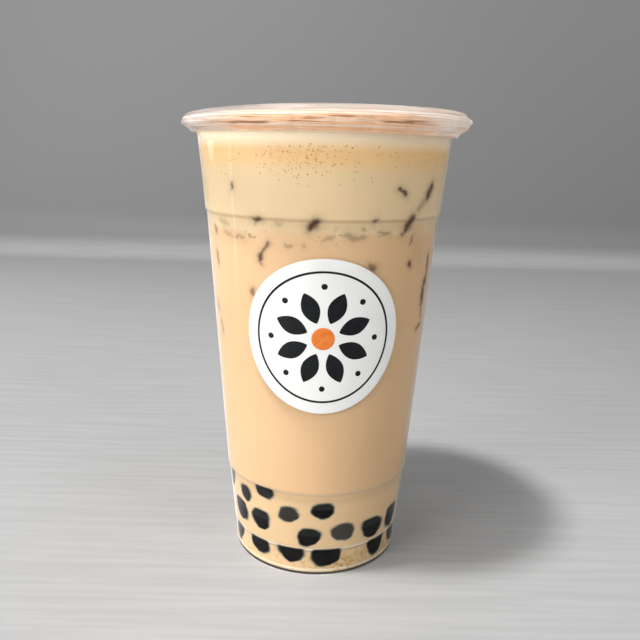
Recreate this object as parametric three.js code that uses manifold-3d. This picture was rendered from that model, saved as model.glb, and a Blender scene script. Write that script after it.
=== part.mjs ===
// Iced bubble tea in a clear plastic cup: milk tea under a layer of milk foam, black tapioca
// pearls in the bottom, a round paper label and a sealing film over the rim.
// Millimetres, +Z up. The origin is the centre of the base, and the label faces -Y.
import * as THREE from "three";
import { mergeVertices } from "three/addons/utils/BufferGeometryUtils.js";
import Module from "manifold-3d";

const wasm = await Module();
wasm.setup();

// Driving dimensions
const CUP_HEIGHT = 159.2; // to the top of the rolled rim
const NECK_Z = 151;
const UPPER_STEP_Z = 126.3;
const MIDDLE_STEP_Z = 32.4;
const LOWER_STEP_Z = 10.2;
const WALL = 0.8;
const NECK_RADIUS = 43.5;
const UPPER_STEP_RADIUS = 41.2;
const MIDDLE_STEP_RADIUS = 33.8;
const LOWER_STEP_RADIUS = 31.3;
const FOOT_RADIUS = 30.5;
const STEP_IN = 0.5; // how far the wall steps in below each ring
const RIM_RADIUS = 47.6; // outside of the rolled rim
const RIM_CURL = 1.75; // radius of the roll itself
const FLOOR_Z = 3.6; // top of the cup's raised floor
const FLOOR_THICK = 1.1;
const PANEL_RADIUS = 24.6; // of the recess under the raised floor
const CHANNEL_Z = 0.8; // bottom of the channel between the raised floor and the wall
const CHANNEL_FILLET = 0.6; // where the wall meets that channel
const FIT_GAP = 0.35; // clearance between neighbouring solids
const FOAM_TOP_Z = 156;
const LAYER_Z = 122.6; // where the foam meets the tea
const FILM_TOP_Z = 160;
const FILM_SAG = 0.9;
const FILM_RADIUS = 49.3;
const FILM_THICK = 0.4;
const LABEL_RADIUS = 26;
const LABEL_Z = 89;
const LABEL_AZIMUTH = 2; // degrees towards +X from the front
const LABEL_THICK = 0.3;
const PEARL_RADIUS = 5; // to the corners of its flat sides
const PEARL_INSET = 3; // from a pearl's centre to the wall that flattens it
const HEAP_TOP_Z = 31;
const HEAP_INSET = 6.4; // from the wall to the heap's core
const BACK_SPREAD = 1.2; // spacing of the pearls at the back over that at the front
const SEGMENTS = 36;
const FILM_SEGMENTS = 48;
const DRINK_SEGMENTS = 30;
const CORE_SEGMENTS = 14;

// Pearls that show through the wall, a row for each height. The azimuths of the front ones, in
// degrees, are as the drink shows them, and the back goes on at about the row's own spacing.
const PEARL_ROWS = [
  { z: 7.6, front: [-67, -41, -16, 8, 47, 70] },
  { z: 16.6, front: [-59, -38, -4, 18, 41, 63] },
  { z: 24.4, front: [-51, -18, 5] },
  { z: 29.2, front: [-73, -33] },
];

// A repeatable random number from 0 to 1
let seed = 7;
function draw() {
  seed = (seed * 16807) % 2147483647;
  return seed / 2147483647;
}

const between = (low, high) => low + (high - low) * draw();
const radians = (degrees) => (degrees * Math.PI) / 180;

// Azimuth runs from the front, -Y, towards +X.
function onWall(azimuth, radius, z) {
  const a = radians(azimuth);
  return new THREE.Vector3(radius * Math.sin(a), -radius * Math.cos(a), z);
}

// A closed round solid from a profile of [radius, z] points, listed anticlockwise with the
// axis on the left. The reshape function may move each vertex and must repeat every full turn.
function turned(profile, reshape, segments = SEGMENTS) {
  const points = profile.map(([r, z]) => new THREE.Vector2(r, z));
  const geometry = new THREE.LatheGeometry(points, segments).rotateX(Math.PI / 2);
  const position = geometry.getAttribute("position");
  const vertex = new THREE.Vector3();
  for (let i = 0; reshape && i < position.count; i++) {
    vertex.fromBufferAttribute(position, i);
    reshape(vertex, Math.atan2(vertex.x, -vertex.y));
    position.setXYZ(i, vertex.x, vertex.y, vertex.z);
  }
  return geometry;
}

function toSolid(geometry) {
  const bare = geometry.clone();
  bare.deleteAttribute("normal");
  bare.deleteAttribute("uv");
  const merged = mergeVertices(bare, 1e-4);
  return new wasm.Manifold(
    new wasm.Mesh({
      numProp: 3,
      vertProperties: new Float32Array(merged.attributes.position.array),
      triVerts: new Uint32Array(merged.index.array),
    }),
  );
}

function toGeometry(solid) {
  const mesh = solid.getMesh();
  const geometry = new THREE.BufferGeometry();
  geometry.setAttribute("position", new THREE.BufferAttribute(mesh.vertProperties, 3));
  geometry.setIndex(new THREE.BufferAttribute(mesh.triVerts, 1));
  geometry.computeVertexNormals();
  return geometry;
}

// The largest of the bodies that a cut leaves, without the loose scraps
function mainBody(solid) {
  const bodies = solid.decompose();
  return bodies.reduce((best, body) => (body.volume() > best.volume() ? body : best));
}

// Outer radius of the cup's wall at a height, straight between the rings
function wallRadius(z) {
  const sections = [
    [0, FOOT_RADIUS, LOWER_STEP_Z, LOWER_STEP_RADIUS - STEP_IN],
    [LOWER_STEP_Z, LOWER_STEP_RADIUS, MIDDLE_STEP_Z, MIDDLE_STEP_RADIUS - STEP_IN],
    [MIDDLE_STEP_Z, MIDDLE_STEP_RADIUS, UPPER_STEP_Z, UPPER_STEP_RADIUS - STEP_IN],
    [UPPER_STEP_Z, UPPER_STEP_RADIUS, NECK_Z, NECK_RADIUS],
  ];
  const [z0, r0, z1, r1] = sections.find((section) => z <= section[2]) ?? sections.at(-1);
  return r0 + ((r1 - r0) * (z - z0)) / (z1 - z0);
}

// The wall's outline between two heights, moved in by an inset, with each ring as a short slope
function wallLine(low, high, inset) {
  const slope = 0.45;
  const line = [[wallRadius(low) - inset, low]];
  for (const z of [LOWER_STEP_Z, MIDDLE_STEP_Z, UPPER_STEP_Z]) {
    if (z - slope > low && z + slope < high) {
      line.push([wallRadius(z - slope) - inset, z - slope]);
      line.push([wallRadius(z + slope) - inset, z + slope]);
    }
  }
  line.push([wallRadius(high) - inset, high]);
  return line;
}

// Points on an arc, angles in degrees from +radius
function arc(radius, z, size, from, to, steps) {
  return Array.from({ length: steps + 1 }, (_, i) => {
    const a = radians(from + ((to - from) * i) / steps);
    return [radius + size * Math.cos(a), z + size * Math.sin(a)];
  });
}

// The inside of the floor from the axis outwards, moved into the cup by a gap: raised in the
// middle, then down into a channel over the foot ring
function floorLine(gap) {
  return [
    [0, FLOOR_Z + gap],
    [PANEL_RADIUS + 0.6 + gap, FLOOR_Z + gap],
    [PANEL_RADIUS + 1.6 + gap, CHANNEL_Z + gap],
    [wallRadius(CHANNEL_Z) - WALL - CHANNEL_FILLET - gap, CHANNEL_Z + gap],
  ];
}

// Cup: raised floor inside a foot ring, three stepped sections, a flared neck and a rolled rim
// that hooks over and down, open underneath.
function cupGeometry() {
  const curlRadius = RIM_RADIUS - RIM_CURL;
  const curlZ = CUP_HEIGHT - RIM_CURL;
  const lipZ = curlZ - 2.2;
  const collar = curlRadius - RIM_CURL + WALL;
  const profile = [
    [0, FLOOR_Z - FLOOR_THICK],
    [PANEL_RADIUS, FLOOR_Z - FLOOR_THICK],
    [PANEL_RADIUS + 1, 0],
    [FOOT_RADIUS - 0.9, 0],
    ...wallLine(0.9, NECK_Z, 0),
    [collar, NECK_Z + 2.6],
    ...arc(curlRadius, curlZ, RIM_CURL - WALL, 180, 0, 4),
    [RIM_RADIUS - WALL, lipZ],
    [RIM_RADIUS, lipZ],
    ...arc(curlRadius, curlZ, RIM_CURL, 0, 180, 5),
    [collar - WALL, NECK_Z + 2.8],
    ...wallLine(CHANNEL_Z + CHANNEL_FILLET, NECK_Z + 0.2, WALL).reverse(),
    ...floorLine(0).reverse(),
  ];
  return turned(profile);
}

// Sealing film: a taut disc that sags a little, with a skirt that wraps the rim, tucks in under
// it and crinkles
function filmGeometry() {
  const skirtZ = FILM_TOP_Z - 3.6;
  const side = (inset) => [
    [0, FILM_TOP_Z - FILM_SAG - inset],
    [26, FILM_TOP_Z - 0.55 * FILM_SAG - inset],
    [43.6, FILM_TOP_Z - 0.1 - inset],
    [FILM_RADIUS - 2.6, FILM_TOP_Z - inset],
    [FILM_RADIUS - 0.8 - 0.7 * inset, FILM_TOP_Z - 0.9 - 0.7 * inset],
    [FILM_RADIUS - inset, skirtZ],
    [FILM_RADIUS - 1.2 - inset, skirtZ - 2],
    [FILM_RADIUS - 3.2 - inset, skirtZ - 3.2],
  ];
  const crinkle = (vertex, angle) => {
    const radius = Math.hypot(vertex.x, vertex.y);
    const depth = THREE.MathUtils.smoothstep(FILM_TOP_Z - vertex.z, 1.2, 5);
    if (radius < FILM_RADIUS - 5 || depth === 0) return;
    const wave = 0.3 * Math.sin(16 * angle) + 0.15 * Math.sin(7 * angle + 1);
    const swell = 1 + (depth * wave) / radius;
    vertex.multiply(new THREE.Vector3(swell, swell, 1));
    vertex.z += depth * 0.3 * Math.sin(11 * angle + 2);
  };
  return turned([...side(FILM_THICK), ...side(0).reverse()], crinkle, FILM_SEGMENTS);
}

// Label: a paper disc bent round the cup, its front and back faces joined along the edge
function labelGeometry() {
  const rings = 4;
  const spokes = 36;
  const positions = [];
  const index = [];
  const place = (ring, spoke, lift) => {
    const reach = (LABEL_RADIUS * ring) / rings;
    const turn = radians((360 * spoke) / spokes);
    const z = LABEL_Z + reach * Math.sin(turn);
    const across = (reach * Math.cos(turn)) / wallRadius(LABEL_Z);
    const azimuth = LABEL_AZIMUTH + THREE.MathUtils.radToDeg(across);
    positions.push(...onWall(azimuth, wallRadius(z) + lift, z).toArray());
  };
  for (const lift of [FIT_GAP + LABEL_THICK, FIT_GAP]) {
    place(0, 0, lift);
    for (let ring = 1; ring <= rings; ring++) {
      for (let spoke = 0; spoke < spokes; spoke++) place(ring, spoke, lift);
    }
  }
  const faceCount = 1 + rings * spokes;
  const at = (ring, spoke) => (ring ? 1 + (ring - 1) * spokes + (spoke % spokes) : 0);
  for (let spoke = 0; spoke < spokes; spoke++) {
    for (let ring = 0; ring < rings; ring++) {
      const [a, b] = [at(ring, spoke), at(ring, spoke + 1)];
      const [c, d] = [at(ring + 1, spoke), at(ring + 1, spoke + 1)];
      index.push(a, c, d, faceCount + a, faceCount + d, faceCount + c);
      if (ring) index.push(a, d, b, faceCount + a, faceCount + b, faceCount + d);
    }
    const [e, f] = [at(rings, spoke), at(rings, spoke + 1)];
    index.push(e, faceCount + e, f, f, faceCount + e, faceCount + f);
  }
  const geometry = new THREE.BufferGeometry();
  geometry.setAttribute("position", new THREE.Float32BufferAttribute(positions, 3));
  geometry.setIndex(index);
  geometry.computeVertexNormals();
  return geometry;
}

// Every pearl's azimuth and height, and its own slightly uneven size and turn
function pearlList() {
  const places = [];
  for (const { z, front } of PEARL_ROWS) {
    for (const azimuth of front) places.push({ azimuth, z });
    const spacing = (BACK_SPREAD * (front.at(-1) - front[0])) / (front.length - 1);
    const last = 360 + front[0] - 0.7 * spacing;
    for (let azimuth = Math.max(front.at(-1), 72) + spacing; azimuth < last; azimuth += spacing) {
      places.push({ azimuth: azimuth + between(-4, 4), z: z + between(-1, 1.2) });
    }
  }
  return places.map((place) => ({
    ...place,
    size: [between(0.94, 1.08), between(0.92, 1.02), between(0.88, 1)],
    turn: [between(0, 3), between(0, 3)],
  }));
}

// Heap of pearls: a round core under the tea, with the pearls that show fused to its side.
// Grow makes it larger all round.
function pearlHeap(pearls, grow) {
  const bottom = FLOOR_Z + FIT_GAP - grow;
  const inset = WALL + HEAP_INSET - grow;
  const shoulder = wallRadius(HEAP_TOP_Z) - inset;
  const profile = [
    [0, bottom],
    [wallRadius(FLOOR_Z) - inset, bottom],
    [shoulder, HEAP_TOP_Z + grow],
    [0, HEAP_TOP_Z + 2 + grow],
  ];
  const core = toSolid(turned(profile, null, CORE_SEGMENTS));
  return pearls.reduce((heap, { azimuth, z, size, turn }) => {
    const centre = onWall(azimuth, wallRadius(z) - WALL - FIT_GAP - PEARL_INSET, z);
    const ball = new THREE.DodecahedronGeometry(PEARL_RADIUS + grow);
    ball.scale(...size).rotateX(turn[0]).rotateZ(turn[1]);
    return heap.add(toSolid(ball.translate(...centre)));
  }, core);
}

// The foam and the tea meet along a slow wave round the cup, and are moved apart from it.
const layerWave = (angle) => 0.7 * Math.sin(3 * angle + 0.6) + 0.35 * Math.sin(7 * angle);
function meetAtLayer(vertex, angle, shift) {
  if (Math.abs(vertex.z - LAYER_Z) > 1e-3) return;
  vertex.z += shift;
  if (Math.hypot(vertex.x, vertex.y) > 1) vertex.z += layerWave(angle);
}

// The space inside the cup from its floor up to a height, clear of the wall
function insideCup(high) {
  const line = wallLine(CHANNEL_Z + CHANNEL_FILLET + FIT_GAP, high, WALL + FIT_GAP);
  const profile = [...floorLine(FIT_GAP), ...line, [20, high], [0, high]];
  const shape = (vertex, angle) => meetAtLayer(vertex, angle, -FIT_GAP / 2);
  return toSolid(turned(profile, shape, DRINK_SEGMENTS));
}

function foamGeometry() {
  const inset = WALL + FIT_GAP;
  const top = NECK_RADIUS - inset + 0.7;
  const profile = [
    [0, LAYER_Z],
    [20, LAYER_Z],
    ...wallLine(LAYER_Z, NECK_Z, inset),
    [top, NECK_Z + 3],
    [top, FOAM_TOP_Z],
    [30, FOAM_TOP_Z],
    [15, FOAM_TOP_Z],
    [0, FOAM_TOP_Z],
  ];
  const shape = (vertex, angle) => {
    const radius = Math.hypot(vertex.x, vertex.y);
    if (vertex.z > FOAM_TOP_Z - 0.1 && radius > 1) vertex.z += 0.4 * Math.sin(4 * angle + radius);
    meetAtLayer(vertex, angle, FIT_GAP / 2);
  };
  return turned(profile, shape, DRINK_SEGMENTS);
}

const pearls = pearlList();
const heapSpace = insideCup(HEAP_TOP_Z + 10);
const heap = mainBody(pearlHeap(pearls, 0).intersect(heapSpace));
const teaSpace = insideCup(LAYER_Z);
const tea = mainBody(teaSpace.subtract(pearlHeap(pearls, FIT_GAP)));

const finish = (color, roughness, more = {}) =>
  new THREE.MeshStandardMaterial({ color, roughness, metalness: 0, ...more });
const clearPlastic = finish(0xf4f2ec, 0.12, { transparent: true, opacity: 0.3 });
const filmPlastic = finish(0xf3e6dc, 0.2, { transparent: true, opacity: 0.4 });
const paper = finish(0xeeeeea, 0.45);
const foamMilk = finish(0xecd0a0, 0.5);
const teaMilk = finish(0xe9bf8e, 0.4);
const tapioca = finish(0x1b1a18, 0.25);

const drink = new THREE.Group();
function addPiece(name, geometry, material) {
  const mesh = new THREE.Mesh(geometry, material);
  mesh.name = name;
  drink.add(mesh);
}

addPiece("cup", cupGeometry(), clearPlastic);
addPiece("seal_film", filmGeometry(), filmPlastic);
addPiece("label", labelGeometry(), paper);
addPiece("milk_foam", foamGeometry(), foamMilk);
addPiece("milk_tea", toGeometry(tea), teaMilk);
addPiece("tapioca_pearls", toGeometry(heap), tapioca);

export default drink;
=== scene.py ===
# %% [markdown]
# # An iced bubble tea, dressed round its frame
# The frame holds the solids of the drink at their real size: the cup, the sealing film, the label,
# the foam, the tea and the heap of pearls. This lesson lays a fine surface over each of them.
# Nearly everything on a takeaway cup is round, so a shape here is a function of two parameters,
# a place along a profile and an angle round the axis, worked out for the whole grid at once.

# %% Load the frame
import math

import bmesh
import bpy
import numpy as np
from mathutils import Matrix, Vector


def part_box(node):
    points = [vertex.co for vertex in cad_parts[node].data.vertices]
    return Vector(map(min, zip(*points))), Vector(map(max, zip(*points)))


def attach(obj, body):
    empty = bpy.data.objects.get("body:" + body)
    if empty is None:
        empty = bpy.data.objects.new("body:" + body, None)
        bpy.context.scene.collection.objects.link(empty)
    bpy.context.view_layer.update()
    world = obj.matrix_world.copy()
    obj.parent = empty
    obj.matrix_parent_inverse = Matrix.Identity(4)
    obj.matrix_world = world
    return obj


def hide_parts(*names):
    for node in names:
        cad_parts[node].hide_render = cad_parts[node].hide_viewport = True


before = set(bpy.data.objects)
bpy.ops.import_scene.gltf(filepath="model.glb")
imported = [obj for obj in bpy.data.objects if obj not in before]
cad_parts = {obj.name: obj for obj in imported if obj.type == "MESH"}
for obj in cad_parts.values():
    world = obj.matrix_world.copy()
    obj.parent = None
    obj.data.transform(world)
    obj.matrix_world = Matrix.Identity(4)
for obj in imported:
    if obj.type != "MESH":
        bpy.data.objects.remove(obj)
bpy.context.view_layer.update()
MM = 0.001
random = np.random.default_rng(11)
print("nodes:", sorted(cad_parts))

# %% [markdown]
# ## The camera
# The photographer stood close, with the lens a little lower than the cup's rim, and tilted the
# camera slightly. Its place was found by fitting the cup's outline. Making it first lets every
# later step be judged through it.

# %% Camera
EYE = np.array([0.0, -251.5, 146.0]) * MM
PITCH = math.radians(13.4)
ROLL = math.radians(1.41)
FOCAL_PIXELS = 700.0
FRAME_PIXELS = 640.0
SENSOR = 36.0


def camera_axes(pitch, roll):
    """Right, up and back axes of a camera that looks along +Y, tipped down and then rolled."""
    forward = np.array([0.0, math.cos(pitch), -math.sin(pitch)])
    level_right = np.array([1.0, 0.0, 0.0])
    level_up = np.cross(level_right, forward)
    right = math.cos(roll) * level_right + math.sin(roll) * level_up
    up = np.cross(right, forward)
    return right, up, -forward


camera_data = bpy.data.cameras.new("camera")
camera_data.sensor_width = SENSOR
camera_data.lens = SENSOR * FOCAL_PIXELS / FRAME_PIXELS
camera_data.clip_start = 0.01
camera = bpy.data.objects.new("camera", camera_data)
bpy.context.scene.collection.objects.link(camera)
placed = np.eye(4)
placed[:3, :3] = np.array(camera_axes(PITCH, ROLL)).T
placed[:3, 3] = EYE
camera.matrix_world = Matrix(placed.tolist())
bpy.context.scene.camera = camera
print("lens", round(camera_data.lens, 2), "mm")

# %% [markdown]
# ## Tools for round things
# A turned piece could be made with the Screw or the Spin tool. Here it is a grid of points, rows
# along the profile and columns round the axis, because then any point can be pushed about by a
# formula before the mesh exists: a wave in a layer, a wrinkle in the film.


# %% Grids
SHARP_FROM = math.radians(50)


def smooth(x, low, high):
    """0 below low, 1 above high, and an S-curve between, 3t^2 - 2t^3."""
    t = np.clip((x - low) / (high - low), 0, 1)
    return t * t * (3 - 2 * t)


def on_wall(azimuth, radius, z):
    """Points at an azimuth in radians from the front, -Y, towards +X, as an array of x, y, z."""
    return np.stack([radius * np.sin(azimuth), -radius * np.cos(azimuth), z], axis=-1)


def grid_faces(rows, columns, wrap):
    """Quads of a grid, numbered row by row. Wrap joins the last column to the first."""
    across = columns if wrap else columns - 1
    row, column = np.meshgrid(np.arange(rows - 1), np.arange(across), indexing="ij")
    beside = (column + 1) % columns
    a, b = row * columns + column, row * columns + beside
    return np.stack([a, b, b + columns, a + columns], axis=-1).reshape(-1, 4)


def add_mesh(name, points, faces):
    """A mesh object from arrays: points in millimetres, and faces as rows of corners."""
    data = bpy.data.meshes.new(name)
    data.from_pydata((points * MM).tolist(), [], faces if isinstance(faces, list) else faces.tolist())
    data.validate()
    data.shade_smooth()
    data.set_sharp_from_angle(angle=SHARP_FROM)
    piece = bpy.data.objects.new(name, data)
    bpy.context.scene.collection.objects.link(piece)
    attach(piece, "root")
    print(name, len(data.vertices), "points")
    return piece


def turned(name, radius, z, azimuth):
    """A closed round piece: radius and z are rows by columns, and start and end on the axis.
    The first and last row become one point each, with a fan of triangles to the next row."""
    rows, columns = radius.shape
    points = on_wall(azimuth, radius, z)
    body = points[1:-1].reshape(-1, 3)
    first, last = len(body), len(body) + 1
    faces = grid_faces(rows - 2, columns, wrap=True).tolist()
    ring = np.arange(columns)
    beside = (ring + 1) % columns
    end = (rows - 3) * columns
    faces += np.stack([beside, ring, np.full(columns, first)], axis=-1).tolist()
    faces += np.stack([end + ring, end + beside, np.full(columns, last)], axis=-1).tolist()
    ends = np.array([points[0].mean(0), points[-1].mean(0)])
    return add_mesh(name, np.concatenate([body, ends]), faces)


def even_turns(columns):
    """Azimuths spread evenly all round, in radians."""
    return np.linspace(-math.pi, math.pi, columns, endpoint=False)


def round_grid(profile, turns):
    """A profile's radii and heights spread over a column for each azimuth in turns."""
    profile = np.asarray(profile, float)
    radius, _ = np.broadcast_arrays(profile[:, :1], turns[None, :])
    z, azimuth = np.broadcast_arrays(profile[:, 1:], turns[None, :])
    return radius.copy(), z.copy(), azimuth.copy()


def arc(radius, z, size, start, end, steps):
    """Points on a circle of a size round a centre, angles in degrees from +radius."""
    angle = np.radians(np.linspace(start, end, steps + 1))
    return np.stack([radius + size * np.cos(angle), z + size * np.sin(angle)], axis=-1)


def sphere_angles(rows, columns):
    """The two angles of a sphere's grid: dip from the pole, and turn about it."""
    dip = np.linspace(0, math.pi, rows)[:, None]
    turn = np.linspace(0, 2 * math.pi, columns, endpoint=False)[None, :]
    return dip, turn


def sphere_ways(rows, columns):
    """Unit vectors to the points of a sphere's grid."""
    dip, turn = sphere_angles(rows, columns)
    across, along = np.sin(dip) * np.cos(turn), np.sin(dip) * np.sin(turn)
    return np.stack([across, along, np.cos(dip) + 0 * turn], axis=-1)


def joined(grids):
    """Points and faces of one mesh that holds many closed grids, numbered one after another."""
    count, rows, columns, _ = grids.shape
    first = rows * columns * np.arange(count)[:, None, None]
    faces = grid_faces(rows, columns, wrap=True)[None] + first
    return grids.reshape(-1, 3), faces.reshape(-1, 4)


print("a grid of 3 rows by 4 columns has", len(grid_faces(3, 4, wrap=True)), "faces")

# %% [markdown]
# ## The wall's outline
# A stacking cup is drawn in steps, so that one cup sits in another without jamming. Four conical
# sections meet at three rings, and each is half a millimetre wider than the one below it. One
# function gives the wall's radius at any height, and the cup, drink, pearls and label all ask it.

# %% Cup sizes, in millimetres
cup_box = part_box("cup")
film_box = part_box("seal_film")
CUP_HEIGHT = cup_box[1].z / MM
RIM_RADIUS = cup_box[1].x / MM
FILM_TOP = film_box[1].z / MM
FILM_RADIUS = 49.3
NECK_Z, NECK_RADIUS = 151.0, 43.5
FOOT_RADIUS = 30.5
RINGS = [(10.2, 31.3), (32.4, 33.8), (126.3, 41.2)]
STEP_IN = 0.5
RING_SLOPE = 0.45
WALL = 0.8
FLOOR_Z = 3.6
FLOOR_THICK = 1.1
PANEL_RADIUS = 24.6
CHANNEL_Z = 0.8
CHANNEL_FILLET = 0.6
RIM_CURL = 1.75
COLLAR_RADIUS = RIM_RADIUS - 2 * RIM_CURL + WALL

stations = [(0.0, FOOT_RADIUS)]
for ring_z, ring_radius in RINGS:
    stations += [(ring_z - RING_SLOPE, ring_radius - STEP_IN), (ring_z + RING_SLOPE, ring_radius)]
stations += [(NECK_Z, NECK_RADIUS), (NECK_Z + 2.6, COLLAR_RADIUS)]
stations = np.array(stations)


def wall_radius(z):
    """The wall's outer radius at a height, straight between the stations."""
    return np.interp(z, stations[:, 0], stations[:, 1])


def wall_profile(low, high, inset, pitch=2.5):
    """Points up the wall, close together at the rings, moved in by an inset."""
    near_rings = [ring_z + RING_SLOPE * step for ring_z, _ in RINGS for step in (-1.4, -1, 0, 1, 1.4)]
    heights = np.unique([low, high, *np.arange(low, high, pitch), *near_rings])
    heights = heights[(heights >= low) & (heights <= high)]
    return np.stack([wall_radius(heights) - inset, heights], axis=-1)


print("cup", round(CUP_HEIGHT, 1), "mm tall, rim radius", round(RIM_RADIUS, 2))

# %% [markdown]
# ## The cup
# Thermoformed clear plastic under a millimetre thick: a raised floor with a channel round it, the
# stepped wall, and a rim rolled outwards and down, hollow underneath. Its profile goes up the
# outside, round the roll, back down the inside and across the floor, and is then turned. The
# angles below are in degrees from the front.

# %% Cup shell
CUP_COLUMNS = 192
MOULD_AZIMUTH, MOULD_LEAN, MOULD_TOP = -42.5, 0.055, 153
MOULD_RIDGE, MOULD_COLUMNS = 0.1, (-49.9, -39.9, 0.25)
DIP_AZIMUTH, DIP_SPREAD, DIP_DEPTH = -75, 50, 1.9


def floor_profile(into):
    """The inside of the floor from the axis to the wall: raised, then down into the channel, and
    up the fillet. Into moves it into the plastic."""
    corner = wall_radius(CHANNEL_Z) - WALL - CHANNEL_FILLET
    return np.concatenate([
        [(0, FLOOR_Z - into), (14, FLOOR_Z - into), (PANEL_RADIUS + 0.2 - into, FLOOR_Z - into)],
        [(PANEL_RADIUS + 0.8 - into, FLOOR_Z - 0.5 - into), (PANEL_RADIUS + 1.4 - into, CHANNEL_Z + 0.4)],
        [(PANEL_RADIUS + 2 - into, CHANNEL_Z - into)],
        arc(corner, CHANNEL_Z + CHANNEL_FILLET, CHANNEL_FILLET + into, -90, -12, 6),
    ])


def cup_profile():
    """The cup's closed section, from the axis under the floor round to the axis on top of it."""
    curl_radius, curl_z = RIM_RADIUS - RIM_CURL, CUP_HEIGHT - RIM_CURL
    lip_z = curl_z - 2.2
    under = FLOOR_Z - FLOOR_THICK
    return np.concatenate([
        [(0, under), (14, under), (PANEL_RADIUS - 0.3, under), (PANEL_RADIUS + 0.3, under - 0.5)],
        [(PANEL_RADIUS + 0.9, 0.3), (PANEL_RADIUS + 1.4, 0)],
        arc(FOOT_RADIUS - 0.75, 0.8, 0.8, 270, 350, 7),
        wall_profile(1.2, NECK_Z, 0),
        [(NECK_RADIUS + 0.45, NECK_Z + 0.9), (COLLAR_RADIUS, NECK_Z + 2.6)],
        arc(curl_radius, curl_z, RIM_CURL - WALL, 180, 0, 10),
        [(RIM_RADIUS - WALL, lip_z), (RIM_RADIUS - WALL / 2, lip_z - 0.35), (RIM_RADIUS, lip_z)],
        arc(curl_radius, curl_z, RIM_CURL, 0, 180, 14),
        [(COLLAR_RADIUS - WALL, NECK_Z + 2.9), (NECK_RADIUS - WALL + 0.4, NECK_Z + 1.1)],
        wall_profile(CHANNEL_Z + CHANNEL_FILLET, NECK_Z + 0.2, WALL)[::-1],
        floor_profile(0)[::-1],
    ])


def mould_bell(azimuth, z, width):
    """A bell curve of the angle, in degrees, from the line that the mould leaves on the left."""
    away = np.degrees(azimuth) - MOULD_AZIMUTH + MOULD_LEAN * (MOULD_TOP - z)
    return np.exp(-((away / width) ** 2))


def mould_line(radius, z, azimuth):
    """A faint ridge down the mould line, on the outside of the upper wall only."""
    outside = np.abs(radius - wall_radius(z)) < 0.02
    ridge = mould_bell(azimuth, z, 0.4) * smooth(z, 98, 108) * smooth(-z, -151, -149)
    return radius + MOULD_RIDGE * ridge * outside, z, azimuth


def rim_dip(radius, z, azimuth):
    """How far the rim and its film sink at the left, where the sealing press leaned on them: a
    bell curve of the angle, growing from nothing at the neck, and at the middle of the film."""
    bell = np.exp(-(((np.degrees(azimuth) - DIP_AZIMUTH) / DIP_SPREAD) ** 2))
    return DIP_DEPTH * bell * smooth(z, 152, 158.5) * smooth(radius, 8, 42)


extra_turns = np.radians(np.arange(*MOULD_COLUMNS))
cup_turns = np.sort(np.concatenate([even_turns(CUP_COLUMNS), extra_turns]))
radius, z, azimuth = mould_line(*round_grid(cup_profile(), cup_turns))
cup = turned("cup_shell", radius, z - rim_dip(radius, z, azimuth), azimuth)
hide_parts("cup")

# %% [markdown]
# ## The sealing film
# A machine welds a disc of film to the rim, and heat draws the spare edge down into a crinkled
# skirt that tucks in under the roll. The disc is taut, with a slight sag. The wrinkles are sums
# of sine waves round the edge, growing from nothing at the rim to full depth at the hem. At the
# left the film sinks with the rim.

# %% Film
FILM_COLUMNS = 540
FILM_THICK = 0.22
FILM_SAG = 0.9
FILM_BEND = 3.4


def film_side(inset):
    """One side of the film from the axis out over the rim and under it, moved in by an inset."""
    shoulder = arc(FILM_RADIUS - FILM_BEND, FILM_TOP - FILM_BEND, FILM_BEND - inset, 90, 5, 9)
    tuck = arc(FILM_RADIUS - FILM_BEND, FILM_TOP - 3.9, FILM_BEND - inset, 0, -52, 6)
    hem = np.concatenate([tuck, [(46.7 - inset, 152.85 + inset), (45.4 - inset, 152.2 + inset)]])
    top = np.array([(26, FILM_TOP - 0.55 * FILM_SAG - inset), (36, FILM_TOP - 0.28 * FILM_SAG - inset)])
    disc = [(0, FILM_TOP - FILM_SAG - inset), (13, FILM_TOP - 0.86 * FILM_SAG - inset)]
    weld = [(42.6, FILM_TOP - 0.1 - inset), (44.2, FILM_TOP - inset)]
    return np.concatenate([disc, top, weld, shoulder, hem])


def crinkle(radius, z, azimuth):
    """Waves that grow with the depth below the film's top: the skirt ripples in and out and up
    and down, with a few sharper pleats where a wave is raised to a power. It is crumpled most at
    the two sides, sits tighter on the left, and a small tab of it sticks out on the right."""
    depth = smooth(FILM_TOP - z, 0.7, 6.5)
    degrees = np.degrees(azimuth)
    sides = np.exp(-(((np.abs(degrees) - 95) / 22) ** 2))
    crumple = 0.45 + 0.8 * sides
    wave = 0.3 * np.sin(17 * azimuth) + 0.2 * np.sin(41 * azimuth + 1.3 * np.sin(3 * azimuth))
    pleat = np.maximum(np.sin(23 * azimuth + 2 * np.sin(2 * azimuth)), 0) ** 6
    ripple = 0.14 * np.sin(67 * azimuth + 4 * np.sin(5 * azimuth)) * np.sin(2.4 * z)
    tab = np.exp(-(((degrees - 84) / 2.6) ** 2)) * np.exp(-(((z - 157.4) / 1.2) ** 2))
    tight = np.exp(-(((degrees + 92) / 24) ** 2)) * smooth(radius, 46.5, 48.5)
    radius = radius + depth * crumple * (wave + ripple - 0.6 * pleat) * 0.8 + 1.2 * tab
    radius = radius - 0.85 * tight
    rise = 0.3 * np.sin(11 * azimuth + 2) + 0.25 * np.sin(29 * azimuth) + 0.3 * pleat
    lifted = 0.42 * sides * np.clip(157 - z, 0, 5) * smooth(radius, 45.2, 47.6)
    z = z + depth * crumple * rise * 0.6 + lifted - rim_dip(radius, z, azimuth)
    disc = np.clip(radius / 44, 0, 1) ** 3 * (radius < 44.5)
    return radius, z + 0.035 * disc * np.sin(24 * azimuth + 3 * np.sin(2 * azimuth)), azimuth


film_profile = np.concatenate([film_side(FILM_THICK), film_side(0)[::-1]])
film = turned("film_skin", *crinkle(*round_grid(film_profile, even_turns(FILM_COLUMNS))))
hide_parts("seal_film")

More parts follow.
